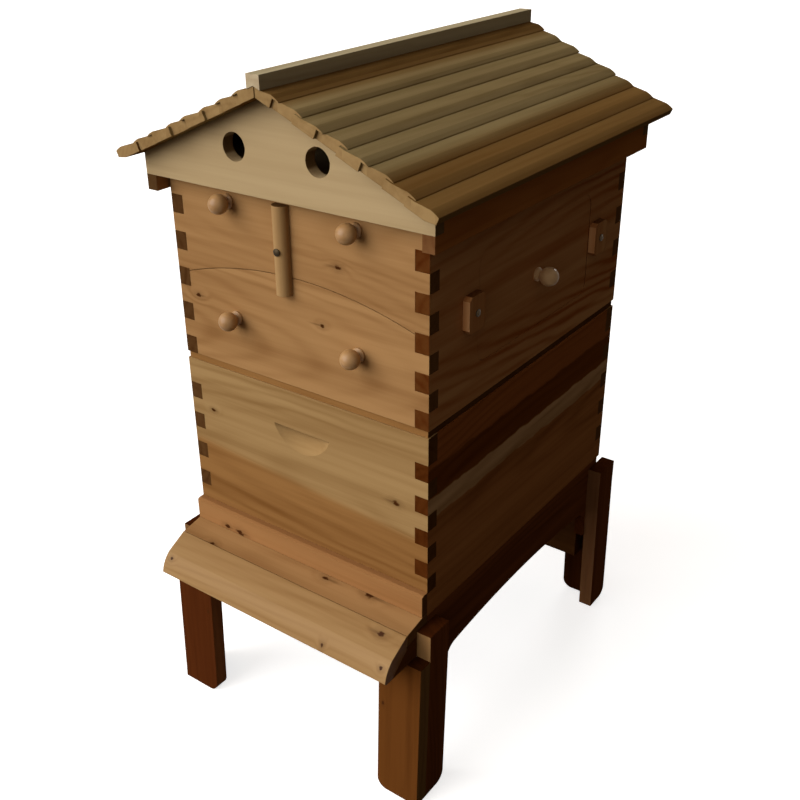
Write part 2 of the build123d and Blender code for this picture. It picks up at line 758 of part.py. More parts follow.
# Honey frames: combs between end plates that carry the outlet and key caps, hung from top bars
honey_xs = [(i - (HONEY_COUNT - 1) / 2) * HONEY_PITCH for i in range(HONEY_COUNT)]
honey_y = (IN_FRONT + HONEY_GAP, IN_REAR - HONEY_GAP)
honey_z = (SUPER_Z + HONEY_FOOT, COVER_Z - REST_H)
comb_y = (honey_y[0] + PLATE_T, honey_y[1] - PLATE_T)
with BuildPart() as honey_bars:
    for x in honey_xs:
        block((x - HONEY_W / 2, x + HONEY_W / 2), lug_y, (honey_z[1], honey_z[1] + LUG_H))
save(honey_bars, "honey_top_bars")

with BuildPart() as honey_plates:
    for x in honey_xs:
        plate_x = (x - HONEY_W / 2, x + HONEY_W / 2)
        block(plate_x, (honey_y[0], comb_y[0]), honey_z)
        block(plate_x, (comb_y[1], honey_y[1]), honey_z)
        outlet = (x, honey_y[0] - CAP_T / 2, honey_z[0] + OUTLET_UP)
        rod(outlet, OUTLET_R, CAP_T, (90, 0, 0))
        key_x = (x - KEY_SLOT[0] / 2, x + KEY_SLOT[0] / 2)
        key_top = honey_z[1] - KEY_DOWN
        block(key_x, (honey_y[0] - CAP_T, honey_y[0]), (key_top - KEY_SLOT[1], key_top))
save(honey_plates, "honey_end_plates")

with BuildPart() as honey_combs:
    for x in honey_xs:
        comb_half = HONEY_W / 2 - COMB_IN
        cell_half = comb_half - COMB_WALL
        block((x - comb_half, x + comb_half), comb_y, honey_z)
        cell_z = (honey_z[0] + COMB_WALL, honey_z[1] - COMB_WALL)
        block((x - cell_half, x + cell_half), comb_y, cell_z, mode=Mode.SUBTRACT)
save(honey_combs, "honey_combs")

# Inner cover with a round feed hole
with BuildPart() as inner_cover:
    block(BOX_X, (Y_FRONT, Y_REAR), (COVER_Z, ROOF_SEAT))
    rod((0, HIVE_Y, COVER_Z), FEED_R, 4 * COVER_T, (0, 0, 0), mode=Mode.SUBTRACT)
save(inner_cover, "inner_cover")

# Roof: vented gables over the ends, skirts with a seat for the inner cover
gable_side_z = APEX_Z - ROOF_RISE * GABLE_HALF
gable_front_y = Y_FRONT - GABLE_GAP
gable_rear_y = Y_REAR + GABLE_GAP + GABLE_T
for end, back in (("front", gable_front_y), ("rear", gable_rear_y)):
    with BuildPart() as gable:
        with BuildSketch(Plane.XZ.offset(-back)):
            with BuildLine():
                Polyline(
                    (-GABLE_HALF, GABLE_Z),
                    (GABLE_HALF, GABLE_Z),
                    (GABLE_HALF, gable_side_z),
                    (0, APEX_Z),
                    (-GABLE_HALF, gable_side_z),
                    close=True,
                )
            make_face()
            with Locations((-VENT_X, VENT_Z), (VENT_X, VENT_Z)):
                Circle(VENT_R, mode=Mode.SUBTRACT)
        extrude(amount=GABLE_T)
    save(gable, f"gable_{end}")

skirt_in = GABLE_HALF - SKIRT_T
skirt_y = (gable_front_y - GABLE_T, gable_rear_y)
for side, sign in SIDES:
    with BuildPart() as skirt:
        with BuildSketch(Plane.XZ.offset(-skirt_y[1])):
            with BuildLine():
                Polyline(
                    (sign * skirt_in, SKIRT_Z),
                    (sign * GABLE_HALF, SKIRT_Z),
                    (sign * GABLE_HALF, gable_side_z),
                    (sign * SEAT_IN, APEX_Z - ROOF_RISE * SEAT_IN),
                    (sign * SEAT_IN, ROOF_SEAT),
                    (sign * skirt_in, ROOF_SEAT),
                    close=True,
                )
            make_face()
        extrude(amount=skirt_y[1] - skirt_y[0])
        over = mirrored(sign, SEAT_IN, GABLE_HALF)
        block(over, (skirt_y[0], gable_front_y), (GABLE_Z, APEX_Z), mode=Mode.SUBTRACT)
        block(over, (gable_rear_y - GABLE_T, skirt_y[1]), (GABLE_Z, APEX_Z), mode=Mode.SUBTRACT)
    save(skirt, f"roof_skirt_{side}")

# Roof: lapped strips from the ridge to the eaves, their ends a little uneven
butts = [LATH_TIP - (LATH_COUNT - 1 - i) * LATH_STEP for i in range(LATH_COUNT)]
for side, sign in SIDES:
    with BuildPart() as strips:
        for i, butt in enumerate(butts):
            first, last = i == 0, i == LATH_COUNT - 1
            head = butt - LATH_STEP
            if first:
                upper = [(0, 0), (-LATH_THIN * ROOF_RISE, LATH_THIN), (LATH_FLAT, LATH_THIN)]
            else:
                hidden = head - LATH_LAP + SEAM
                upper = [(hidden, 0), (hidden, LATH_THIN - SEAM), (head, LATH_THIN - SEAM)]
            nose_start = (butt - LATH_NOSE_RUN, LATH_BUTT)
            nose_mid = (butt - LATH_NOSE_RUN / 2, LATH_BUTT - LATH_NOSE_DROP / 4)
            nose_end = (butt, LATH_BUTT - LATH_NOSE_DROP)
            if last:
                lower = [(butt, EAVE_LIFT), (butt - EAVE_RUN, 0)]
            else:
                lap = butt - LATH_LAP
                lower = [(butt, LATH_THIN), (lap, LATH_THIN), (lap, 0)]
            short = LATH_SHORT[i] if sign > 0 else LATH_SHORT[-1 - i]
            with BuildSketch(Plane.XZ.offset(-(HIVE_Y + ROOF_L / 2 - short))):
                with BuildLine():
                    ThreePointArc(*[slope(sign, s, n) for s, n in (nose_start, nose_mid, nose_end)])
                    edges = [nose_end, *lower, *upper, nose_start]
                    Polyline(*[slope(sign, s, n) for s, n in edges])
                make_face()
            extrude(amount=ROOF_L - 2 * short)
    save(strips, f"roof_strips_{side}")

ridge_valley = slope(1, -LATH_THIN * ROOF_RISE, LATH_THIN)[1]
ridge_edge = ridge_valley - RIDGE_HALF * ROOF_RISE
with BuildPart() as ridge_cap:
    with BuildSketch(Plane.XZ.offset(-(HIVE_Y + ROOF_L / 2))):
        with BuildLine():
            Polyline(
                (-RIDGE_HALF, ridge_edge),
                (0, ridge_valley),
                (RIDGE_HALF, ridge_edge),
                (RIDGE_HALF, RIDGE_TOP),
                (-RIDGE_HALF, RIDGE_TOP),
                close=True,
            )
        make_face()
    extrude(amount=ROOF_L)
save(ridge_cap, "ridge_cap")
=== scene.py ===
import math

import bpy
from mathutils import Matrix, Vector

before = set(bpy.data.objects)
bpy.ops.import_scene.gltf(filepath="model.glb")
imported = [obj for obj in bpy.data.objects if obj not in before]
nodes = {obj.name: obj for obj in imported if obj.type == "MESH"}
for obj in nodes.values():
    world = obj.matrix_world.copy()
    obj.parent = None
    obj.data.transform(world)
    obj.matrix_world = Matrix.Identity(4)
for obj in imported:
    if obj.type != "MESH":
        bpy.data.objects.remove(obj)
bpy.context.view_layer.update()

scene = bpy.context.scene
scene.view_settings.view_transform = "Standard"

# Linear colours of early and late wood
FIR = ((0.366, 0.203, 0.082), (0.246, 0.122, 0.044))
PALE = ((0.439, 0.323, 0.175), (0.352, 0.246, 0.124))
BROWN = ((0.275, 0.137, 0.045), (0.172, 0.074, 0.020))
STRIP = ((0.336, 0.167, 0.063), (0.226, 0.099, 0.033))
NOSE = ((0.375, 0.230, 0.097), (0.270, 0.148, 0.054))
KNOB = ((0.400, 0.230, 0.095), (0.300, 0.160, 0.060))
# Knob wood for the side covers, made paler as painted light, since that side gets no direct light
SIDE_KNOB_LIT = ((0.560, 0.360, 0.180), (0.450, 0.280, 0.130))
SIDE_LEFT = ((0.360, 0.180, 0.066), (0.240, 0.105, 0.034))
# Shaded copies for the right side, which stays in shade: the red cast of that shade is painted into them
SIDE_RIGHT_SHADED = ((0.460, 0.225, 0.085), (0.290, 0.085, 0.017))
BROOD_RIGHT_SHADED = ((0.370, 0.150, 0.046), (0.220, 0.076, 0.018))
SKIRT_RIGHT_SHADED = ((0.380, 0.140, 0.032), (0.260, 0.082, 0.017))
ROOF = ((0.310, 0.228, 0.102), (0.200, 0.134, 0.053))
RIDGE = ((0.490, 0.420, 0.260), (0.330, 0.250, 0.140))
# The stand: dark wood, darkened further with painted shade; the red copy is painted shadow of the landing
# on the front left leg, and the side copy, for aprons, posts and rear boards, carries the red cast of
# their shade
STAND_SHADED = ((0.125, 0.043, 0.009), (0.070, 0.022, 0.0045))
STAND_RED_SHADED = ((0.092, 0.024, 0.006), (0.050, 0.012, 0.003))
STAND_SIDE_SHADED = ((0.170, 0.053, 0.014), (0.085, 0.024, 0.006))
KNOT_DARK = (0.055, 0.018, 0.005)

# Tones, by which a colour is multiplied
WHITE = (1.0, 1.0, 1.0)
ROOF_RED = (0.70, 0.52, 0.36)
END_GRAIN = (0.40, 0.33, 0.26)
TURNED_END = (0.95, 0.92, 0.9)

# Layers of grain: noise scales along, across and through a board in cycles per metre, detail, roughness
WARP = ((2.6, 13.0, 13.0), 3.0, 0.5)
SWAY = ((1.3, 3.0, 3.0), 1.0, 0.5)
FADE = ((1.1, 9.0, 9.0), 2.0, 0.5)
FIBRE = ((7.0, 420.0, 420.0), 3.0, 0.6)
STREAK = ((2.2, 95.0, 95.0), 3.0, 0.55)
BAND = ((0.9, 30.0, 30.0), 2.0, 0.5)
BLOTCH = ((2.4, 9.0, 9.0), 2.0, 0.5)
SEED_STEP = (7.13, 3.71, 5.17)
NOISE_MEAN = 0.5

# Reach of the wandering rings in metres, and the share of each layer in the late wood
WARP_REACH = 0.055
SWAY_REACH = 0.05
LATE_SHARE = 0.28
FIBRE_SHARE = 0.25
STREAK_SHARE = 1.0
BAND_SHARE = 1.5
BLOTCH_SHARE = 0.7
FADE_FROM = (0.35, 0.7)
FADE_TO = (0.1, 1.0)
RING_SINK = 0.35

# Knots: lengths are in radii of the knot, and a tail starts and ends in shares of its own length
KNOT_RAGGED = (140.0, 260.0, 1.0)
KNOT_STRETCH = 0.6
KNOT_FRAY = 1.6
KNOT_CORE = (0.45, 1.15)
PUSH_REACH = 5.0
PUSH_RINGS = 1.1
TAIL_START = (-0.05, 0.0)
TAIL_WIDTH = (0.1, 0.8)
TAIL_DARK = 0.6
HALO_REACH = (0.5, 3.0)
HALO_DARK = 0.25

# Boards: stripes, the seeds of neighbours, strips of the roof, faces, relief
STRIPE_NOISE = (0.9, 30.0, 30.0)
STRIPE_WAVER = 0.01
STRIPE_SOFT = 0.002
JOINT_SEED = 4.37
LATH_SEED = 1.93
LATH_DARKEST = 0.85
LATH_SPREAD = 0.3
RED_BY_RIDGE = (0.03, 0.055)
RED_BY_EAVE = (0.165, 0.19)
FACING = (0.75, 0.9)
ROUGH_SWING = 0.12
RELIEF_STRENGTH = 0.12
RELIEF_DISTANCE = 0.0006
BEVEL_SAMPLES = 4
MOTTLE_DETAIL = 3.0
MOTTLE_ROUGH = 0.1


class Graph:
    """Short forms for building a node tree."""

    def __init__(self, tree):
        self.tree = tree

    def put(self, socket, value):
        if isinstance(value, bpy.types.NodeSocket):
            self.tree.links.new(value, socket)
        elif hasattr(socket.default_value, "__len__") and len(socket.default_value) > len(value):
            socket.default_value = (*value, 1.0)
        else:
            socket.default_value = value

    def add(self, kind, inputs=(), **settings):
        node = self.tree.nodes.new(kind)
        for key, value in settings.items():
            setattr(node, key, value)
        for key, value in dict(inputs).items():
            self.put(node.inputs[key], value)
        return node

    def math(self, operation, *values, clamp=False):
        node = self.add("ShaderNodeMath", operation=operation, use_clamp=clamp)
        for socket, value in zip(node.inputs, values):
            self.put(socket, value)
        return node.outputs[0]

    def vmath(self, operation, a, b):
        node = self.add("ShaderNodeVectorMath", {0: a, 1: b}, operation=operation)
        return node.outputs["Value" if operation == "DOT_PRODUCT" else "Vector"]

    def vector(self, x, y, z):
        return self.add("ShaderNodeCombineXYZ", {"X": x, "Y": y, "Z": z}).outputs[0]

    def mix(self, factor, a, b, blend="MIX"):
        node = self.add("ShaderNodeMix", data_type="RGBA", blend_type=blend)
        for index, value in ((0, factor), (6, a), (7, b)):
            self.put(node.inputs[index], value)
        return node.outputs[2]

    def tint(self, colour, tone):
        return self.mix(1.0, colour, tone, "MULTIPLY")

    def smooth(self, value, low, high, to_low=0.0, to_high=1.0):
        limits = {"From Min": low, "From Max": high, "To Min": to_low, "To Max": to_high}
        inputs = {"Value": value, **limits}
        return self.add("ShaderNodeMapRange", inputs, interpolation_type="SMOOTHSTEP").outputs[0]

    def noise(self, vector, detail=2.0, rough=0.5):
        inputs = {"Vector": vector, "Scale": 1.0, "Detail": detail, "Roughness": rough}
        return self.add("ShaderNodeTexNoise", inputs).outputs["Fac"]

    def about(self, noise, scale):
        """How far a noise is from its mean, times scale."""
        return self.math("MULTIPLY", self.math("SUBTRACT", noise, NOISE_MEAN), scale)

    def total(self, *values, clamp=False):
        result = values[0]
        for value in values[1:-1]:
            result = self.math("ADD", result, value)
        return self.math("ADD", result, values[-1], clamp=clamp)

    def largest(self, *values):
        result = values[0]
        for value in values[1:]:
            result = self.math("MAXIMUM", result, value)
        return result

    def hypot(self, a, b):
        squares = self.math("MULTIPLY", a, a), self.math("MULTIPLY", b, b)
        return self.math("SQRT", self.math("ADD", *squares))


def timber_group():
    """Growth rings, streaks and blotches of one board, in coordinates along, across and through it."""
    tree = bpy.data.node_groups.new("timber", "ShaderNodeTree")
    g = Graph(tree)
    sockets = {
        "Vector": ("Place",),
        "Color": ("Early", "Late"),
        "Float": ("Seed", "Spacing", "Contrast", "Pith", "Depth", "Tilt", "Push"),
    }
    for kind, names in sockets.items():
        for name in names:
            tree.interface.new_socket(name, in_out="INPUT", socket_type=f"NodeSocket{kind}")
    tree.interface.new_socket("Color", in_out="OUTPUT", socket_type="NodeSocketColor")
    tree.interface.new_socket("Height", in_out="OUTPUT", socket_type="NodeSocketFloat")
    source = tree.nodes.new("NodeGroupInput").outputs
    place, seed = source["Place"], source["Seed"]
    moved = g.vmath("ADD", place, g.vmath("MULTIPLY", SEED_STEP, g.vector(seed, seed, seed)))

    def field(scale, detail, rough):
        return g.noise(g.vmath("MULTIPLY", moved, scale), detail, rough)

    along, across, through = g.add("ShaderNodeSeparateXYZ", {"Vector": place}).outputs
    wander = g.total(g.about(field(*WARP), WARP_REACH), g.about(field(*SWAY), SWAY_REACH))
    side = g.math("ADD", g.math("SUBTRACT", across, source["Pith"]), wander)
    lean = g.math("MULTIPLY", along, source["Tilt"])
    deep = g.math("SUBTRACT", g.math("SUBTRACT", through, source["Depth"]), lean)
    turns = g.math("ADD", g.math("DIVIDE", g.hypot(side, deep), source["Spacing"]), source["Push"])
    # A sine brought to the range from 0 to 1, squared for narrow late wood
    wave = g.math("MULTIPLY_ADD", g.math("SINE", g.math("MULTIPLY", turns, math.tau)), 0.5, 0.5)
    ring = g.math("MULTIPLY", wave, wave)
    fibre = field(*FIBRE)
    fading = g.smooth(field(*FADE), *FADE_FROM, *FADE_TO)
    amount = g.total(
        LATE_SHARE,
        g.math("MULTIPLY", ring, g.math("MULTIPLY", source["Contrast"], fading)),
        g.about(fibre, FIBRE_SHARE),
        g.about(field(*STREAK), STREAK_SHARE),
        g.about(field(*BAND), BAND_SHARE),
        g.about(field(*BLOTCH), BLOTCH_SHARE),
        clamp=True,
    )
    sink = tree.nodes.new("NodeGroupOutput")
    g.put(sink.inputs["Color"], g.mix(amount, source["Early"], source["Late"]))
    g.put(sink.inputs["Height"], g.math("SUBTRACT", fibre, g.math("MULTIPLY", ring, RING_SINK)))
    return tree


TIMBER = timber_group()
AXIS = {"X": (1, 0, 0), "Y": (0, 1, 0), "Z": (0, 0, 1)}


def new_material(name):
    material = bpy.data.materials.new(name)
    material.use_nodes = True
    material.node_tree.nodes.clear()
    g = Graph(material.node_tree)
    surface = g.add("ShaderNodeBsdfPrincipled")
    out = g.add("ShaderNodeOutputMaterial")
    g.put(out.inputs["Surface"], surface.outputs[0])
    return material, g, surface


def paint(node, material):
    data = nodes[node].data
    data.materials.clear()
    data.materials.append(material)


def knot_fields(g, along, across, knots):
    """How far the rings swing round the knots, and how dark the knots are. A knot is a place along
    and across, a radius and the length of its tail, which trails to the side that its sign names."""
    ragged = g.noise(g.vmath("MULTIPLY", g.vector(along, across, 0.0), KNOT_RAGGED))
    push, dark = 0.0, 0.0
    for knot_along, knot_across, radius, tail in knots:
        core_in, core_out = (radius * share for share in KNOT_CORE)
        tail_in, tail_out = (radius * share for share in TAIL_WIDTH)
        halo_in, halo_out = (radius * share for share in HALO_REACH)
        du = g.math("SUBTRACT", along, knot_along)
        dv = g.math("SUBTRACT", across, knot_across)
        away = g.hypot(g.math("MULTIPLY", du, KNOT_STRETCH), dv)
        push = g.math("ADD", push, g.smooth(away, 0.0, radius * PUSH_REACH, PUSH_RINGS, 0.0))
        rim = g.math("ADD", away, g.about(ragged, radius * KNOT_FRAY))
        core = g.smooth(rim, core_in, core_out, 1.0, 0.0)
        reach = g.math("DIVIDE", du, tail)
        fall = g.math("MULTIPLY", g.smooth(reach, *TAIL_START), g.smooth(reach, 0.0, 1.0, TAIL_DARK, 0.0))
        narrow = g.smooth(g.math("ABSOLUTE", dv), tail_in, tail_out, 1.0, 0.0)
        halo = g.smooth(rim, halo_in, halo_out, HALO_DARK, 0.0)
        dark = g.largest(dark, core, g.math("MULTIPLY", fall, narrow), halo)
    return push, dark


def wood(
    name,
    grain,
    face,
    palette,
    seed,
    spacing=0.0085,
    contrast=0.3,
    pith=0.0,
    depth=0.06,
    tilt=0.05,
    joint=None,
    knots=(),
    end=END_GRAIN,
    rough=0.55,
    sheen=0.0,
    edge=0.0009,
    laths=None,
    stripes=(),
    facet=None,
):
    """Board material: grain and face name the axes along the fibres and out of the broad face.
    joint is a glue line as (place across, slant, tone of the board beyond, softness); laths is the
    pitch of narrow strips laid side by side across the roof, each with its own brightness; stripes
    are (from, to, tone) with places across; end is the tone of end grain, and facet a
    (direction, tone) of painted light or shade for the faces that look that way."""
    material, g, surface = new_material(name)
    coords = g.add("ShaderNodeTexCoord").outputs
    place, normal = coords["Object"], coords["Normal"]
    split = dict(zip("XYZ", g.add("ShaderNodeSeparateXYZ", {"Vector": place}).outputs))
    across_axis = next(axis for axis in "XYZ" if axis not in (grain, face))
    along, across, through = split[grain], split[across_axis], split[face]
    group = g.add("ShaderNodeGroup", node_tree=TIMBER)
    inputs = {
        "Place": g.vector(along, across, through),
        "Early": palette[0],
        "Late": palette[1],
        "Seed": seed,
        "Spacing": spacing,
        "Contrast": contrast,
        "Pith": pith,
        "Depth": depth,
        "Tilt": tilt,
    }
    colour, relief = group.outputs["Color"], group.outputs["Height"]
    for low, high, tone in stripes:
        waver = g.about(g.noise(g.vmath("MULTIPLY", place, STRIPE_NOISE)), STRIPE_WAVER)
        ragged = g.math("ADD", across, waver)
        above = g.smooth(ragged, low - STRIPE_SOFT, low + STRIPE_SOFT)
        below = g.smooth(ragged, high - STRIPE_SOFT, high + STRIPE_SOFT, 1.0, 0.0)
        colour = g.mix(g.math("MULTIPLY", above, below), colour, g.tint(colour, tone))
    if joint:
        cut, slant, tone, softness = joint
        height = g.math("SUBTRACT", across, g.math("MULTIPLY", along, slant))
        beyond = g.smooth(height, cut - softness, cut + softness)
        inputs["Seed"] = g.math("MULTIPLY_ADD", g.math("GREATER_THAN", height, cut), JOINT_SEED, seed)
        colour = g.tint(colour, g.mix(beyond, WHITE, tone))
    if laths:
        run = g.math("ABSOLUTE", split["X"])
        lath = g.math("FLOOR", g.math("DIVIDE", run, laths))
        inputs["Seed"] = g.math("MULTIPLY_ADD", lath, LATH_SEED, seed)
        pick = g.add("ShaderNodeTexWhiteNoise", {"W": inputs["Seed"]}, noise_dimensions="1D")
        shade = g.math("MULTIPLY_ADD", pick.outputs["Value"], LATH_SPREAD, LATH_DARKEST)
        colour = g.tint(colour, g.vector(shade, shade, shade))
        red = g.largest(g.smooth(run, *RED_BY_RIDGE, 1.0, 0.0), g.smooth(run, *RED_BY_EAVE))
        colour = g.mix(red, colour, g.tint(colour, ROOF_RED))
    if knots:
        inputs["Push"], dark = knot_fields(g, along, across, knots)
        colour = g.mix(dark, colour, KNOT_DARK)
    for key, value in inputs.items():
        g.put(group.inputs[key], value)
    facing = g.math("ABSOLUTE", g.vmath("DOT_PRODUCT", normal, AXIS[grain]))
    colour = g.mix(g.smooth(facing, *FACING), colour, g.tint(group.outputs["Color"], end))
    # Painted light or shade on the faces that look in the given direction
    if facet:
        direction, tone = facet
        looking = g.vmath("DOT_PRODUCT", normal, direction)
        colour = g.mix(g.smooth(looking, *FACING), colour, g.tint(colour, tone))
    g.put(surface.inputs["Base Color"], colour)
    roughness = g.math("MULTIPLY_ADD", relief, ROUGH_SWING, rough - ROUGH_SWING / 2)
    g.put(surface.inputs["Roughness"], roughness)
    surface.inputs["Specular IOR Level"].default_value = sheen
    rounded = g.add("ShaderNodeBevel", {"Radius": edge}, samples=BEVEL_SAMPLES).outputs[0]
    bump = {"Strength": RELIEF_STRENGTH, "Distance": RELIEF_DISTANCE, "Height": relief, "Normal": rounded}
    g.put(surface.inputs["Normal"], g.add("ShaderNodeBump", bump).outputs[0])
    return material


def board(node, grain, face, palette, seed, **look):
    paint(node, wood(f"{node}_wood", grain, face, palette, seed, **look))


def plain(name, colour, rough, metal=0.0, transmission=0.0, grain=40.0, spread=0.12):
    """Even material with a faint mottle."""
    material, g, surface = new_material(name)
    coords = g.add("ShaderNodeTexCoord").outputs["Object"]
    mottle = g.noise(g.vmath("MULTIPLY", coords, (grain, grain, grain)), MOTTLE_DETAIL)
    darker = tuple(c * (1.0 - spread) for c in colour)
    g.put(surface.inputs["Base Color"], g.mix(mottle, darker, colour))
    roughness = g.math("MULTIPLY_ADD", mottle, MOTTLE_ROUGH, rough - MOTTLE_ROUGH / 2)
    g.put(surface.inputs["Roughness"], roughness)
    surface.inputs["Metallic"].default_value = metal
    surface.inputs["Transmission Weight"].default_value = transmission
    return material


# Front and rear boards
board("gable_front", "X", "Y", PALE, 1.7, pith=0.95, depth=-0.20, tilt=0.03, spacing=0.012,
      contrast=0.55)
board("gable_rear", "X", "Y", PALE, 9.1, pith=0.82, depth=0.35, tilt=0.03, spacing=0.012,
      contrast=0.55)
board("upper_door", "X", "Y", FIR, 2.3, pith=0.80, depth=-0.30, tilt=0.10, contrast=0.4,
      knots=((0.0734, 0.755, 0.0038, -0.03),))
board("lower_door", "X", "Y", FIR, 3.9, pith=0.62, depth=-0.33, tilt=-0.12, contrast=0.5, spacing=0.011,
      knots=((-0.1723, 0.664, 0.0035, 0.02), (0.0445, 0.672, 0.0028, -0.03)))
board("brood_wall_front", "X", "Y", BROWN, 5.2, pith=0.43, depth=-0.31, tilt=0.09, contrast=0.45,
      spacing=0.013, joint=(0.420, -0.07, (1.27, 1.60, 2.05), 0.008),
      knots=((-0.165, 0.488, 0.003, 0.014), (0.156, 0.451, 0.0042, -0.03)))
board("brood_wall_rear", "X", "Y", FIR, 6.4, pith=0.46, depth=0.36, tilt=0.07,
      joint=(0.44, 0.0, (0.9, 0.88, 0.85), 0.001))
board("super_wall_rear", "X", "Y", FIR, 7.7, pith=0.73, depth=0.36,
      joint=(0.71, 0.0, (1.08, 1.1, 1.12), 0.001))
board("super_head_rail", "X", "Y", FIR, 8.8, pith=0.87, depth=-0.30)
board("entrance_strip", "X", "Y", STRIP, 42.3, pith=0.31, depth=-0.28,
      knots=((-0.1464, 0.301, 0.0042, 0.02), (-0.1217, 0.300, 0.0055, 0.03)))
board("landing_board_upper", "X", "Z", FIR, 43.4, pith=-0.25, depth=0.20, contrast=0.4,
      knots=((-0.1479, -0.2777, 0.0035, 0.02), (0.0462, -0.250, 0.004, 0.04),
             (0.1205, -0.246, 0.005, 0.05)))
# The last three knots are nail heads
board("landing_board_lower", "X", "Z", NOSE, 44.6, pith=-0.30, depth=0.15, contrast=0.4, rough=0.45,
      sheen=0.08, end=(0.35, 0.22, 0.12),
      knots=((0.1714, -0.290, 0.004, -0.03), (0.195, -0.322, 0.0018, 0.003),
             (-0.195, -0.318, 0.0018, 0.003), (0.099, -0.3255, 0.0018, 0.003)))
board("turn_bar", "Z", "Y", NOSE, 54.0, pith=-0.02, depth=-0.20, sheen=0.1)
for door in ("upper", "lower"):
    board(f"{door}_door_knobs", "Y", "X", KNOB, 55.0 + len(door), edge=0.0004, end=TURNED_END,
          rough=0.36, sheen=0.3)

# Side boards, roof and stand; pairs are for the left and the right side
FORWARD = (0.0, -1.0, 0.0)
RIGHTWARD = (1.0, 0.0, 0.0)
OUTWARD = (-0.27, 0.27)
SIDE_WALL = (SIDE_LEFT, SIDE_RIGHT_SHADED)
SIDE_BROOD = (SIDE_LEFT, BROOD_RIGHT_SHADED)
SIDE_SKIRT = (SIDE_LEFT, SKIRT_RIGHT_SHADED)
FRONT_LEG = (STAND_RED_SHADED, STAND_SHADED)
FINGER_ENDS = ((0.27, 0.25, 0.23), (0.23, 0.16, 0.10))
# Tones for the ends of the roof skirts, left and right: end grain with painted shade
SKIRT_SHADED_ENDS = ((0.25, 0.25, 0.25), (0.45, 0.55, 0.9))
# Tones for the right-facing faces of the front leg boards, left and right: painted light
LEG_EDGE_LIGHT = ((4.5, 6.5, 9.0), (1.7, 2.6, 4.0))
FLAME_TILT = (0.10, -0.10)
NAIL_X = (-0.168, 0.168)
BROOD_STRIPES = (
    (
        (0.440, 0.471, (1.06, 1.10, 1.15)),
        (0.471, 0.515, (0.90, 0.86, 0.80)),
    ),
    (
        (0.440, 0.471, (1.35, 2.0, 3.2)),
        (0.471, 0.515, (0.5, 0.38, 0.2)),
        (0.515, 0.570, (0.88, 0.72, 0.6)),
    ),
)
# Tones for the forward faces of the leg posts, front and rear: painted light on the lit ends, against the
# painted shade of the posts
POST_LIT_FRONTS = {"front": (1.8, 3.2, 4.8), "rear": (1.15, 1.7, 2.7)}
# Tone for the forward faces of the turn buttons: painted light
BUTTON_LIT_FRONT = (1.6, 1.9, 2.4)
# Tone for the forward faces of the rear leg boards: painted shade under the hive
REAR_LEG_SHADE = (0.2, 0.17, 0.12)
LATH_PITCH = 0.0305
LEG = {"pith": 0.2, "depth": -0.33, "tilt": 0.04}
for index, side in enumerate(("left", "right")):
    out = OUTWARD[index]
    wall = SIDE_WALL[index]
    ends = FINGER_ENDS[index]
    flame = {"pith": 0.70, "depth": out, "tilt": FLAME_TILT[index], "contrast": 0.85, "spacing": 0.014}
    board(f"super_wall_{side}", "Y", "X", wall, 11.0 + index, end=ends, **flame)
    board(f"side_cover_{side}", "Y", "X", wall, 11.0 + index, **flame)
    board(f"brood_wall_{side}", "Y", "X", SIDE_BROOD[index], 13.0 + index, pith=0.41, depth=out,
          tilt=-0.08, contrast=0.6, spacing=0.012, end=ends, stripes=BROOD_STRIPES[index])
    board(f"side_cover_knob_{side}", "X", "Y", SIDE_KNOB_LIT, 17.0 + index, edge=0.0004, rough=0.36,
          sheen=0.1, end=TURNED_END)
    board(f"roof_skirt_{side}", "Y", "X", SIDE_SKIRT[index], 19.0 + index, pith=0.83, depth=out,
          end=SKIRT_SHADED_ENDS[index])
    board(f"roof_strips_{side}", "Y", "Z", ROOF, 21.0 + 30.0 * index, depth=0.75, tilt=0.06,
          contrast=0.3, laths=LATH_PITCH, edge=0.0012, end=(1.05, 0.92, 0.88))
    board(f"stand_side_{side}", "Y", "X", STAND_SIDE_SHADED, 23.0 + index, pith=0.20, depth=out)
    for row, (place, lit_front) in enumerate(POST_LIT_FRONTS.items()):
        seed = 29.0 + index + 2 * row
        board(f"leg_post_{place}_{side}", "Z", "X", STAND_SIDE_SHADED, seed + 8.0, depth=out, tilt=0.04,
              facet=(FORWARD, lit_front))
        board(f"turn_button_{place}_{side}", "Z", "X", wall, seed + 4.0, depth=out,
              facet=(FORWARD, BUTTON_LIT_FRONT))
    nail = ((0.155, NAIL_X[index], 0.0022, -0.006),)
    board(f"leg_board_front_{side}", "Z", "Y", FRONT_LEG[index], 29.0 + index, knots=nail,
          facet=(RIGHTWARD, LEG_EDGE_LIGHT[index]), **LEG)
    board(f"leg_board_rear_{side}", "Z", "Y", STAND_SIDE_SHADED, 31.0 + index,
          facet=(FORWARD, REAR_LEG_SHADE), **LEG)
board("ridge_cap", "Y", "X", RIDGE, 41.0, end=(1.0, 0.95, 1.0))
board("landing_cheeks", "Y", "X", STAND_SHADED, 45.1)
board("stand_rail_front", "X", "Y", STAND_SHADED, 47.0)
# The forward face of the back board is darkened with painted shade under the hive
board("stand_back_board", "X", "Y", STAND_SIDE_SHADED, 48.0, pith=0.18, facet=(FORWARD, (0.42, 0.50, 0.50)))
board("tray_runners", "Y", "X", STAND_SHADED, 49.0)
board("floor_rim", "Y", "X", BROOD_RIGHT_SHADED, 50.0, pith=0.30)
board("excluder_rim", "X", "Y", BROWN, 51.0, pith=0.56)
board("inner_cover", "Y", "Z", PALE, 52.0, depth=0.8)
board("brood_frame_bars", "Y", "X", PALE, 53.0)

